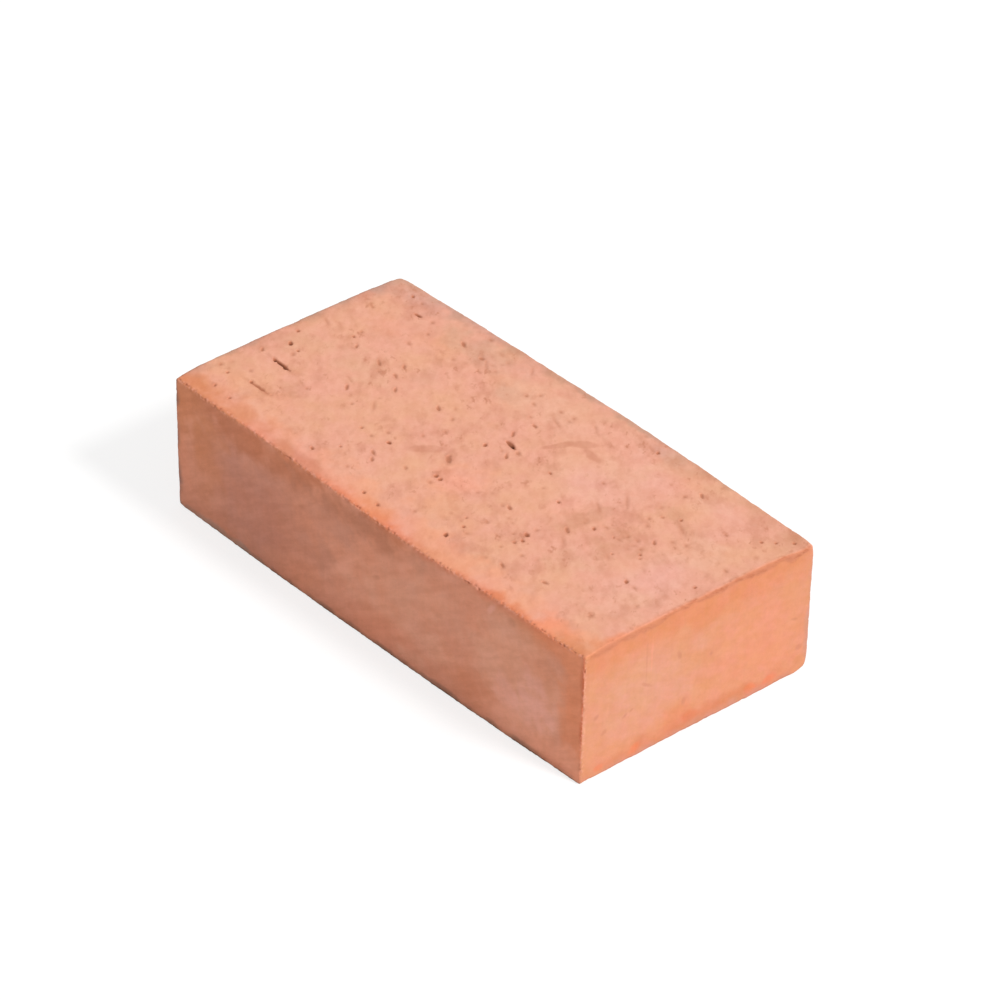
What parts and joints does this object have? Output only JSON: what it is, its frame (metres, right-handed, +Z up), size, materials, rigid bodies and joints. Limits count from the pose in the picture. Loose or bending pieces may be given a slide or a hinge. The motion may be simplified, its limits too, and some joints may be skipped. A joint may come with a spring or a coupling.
{
  "type": "solid clay brick",
  "caption": "Solid wire-cut clay brick with flat beds, slightly swollen sides, worn arrises, torn pits in its upper bed and a lip of dragged clay over one header.",
  "frame": {"origin": "middle of the lower bed, on the level surface that the brick lies on", "axes": "+X along the brick, towards the header with the lip of dragged clay; +Y across it; +Z up, out of the upper bed"},
  "size_m": [0.25, 0.12, 0.062],
  "materials": {
    "fired_clay": "matt fired clay, pale peach-orange, pinkish and darker where the kiln fire caught it"
  },
  "bodies": {
    "root": {"brick_body": "fired_clay"}
  },
  "joints": []
}
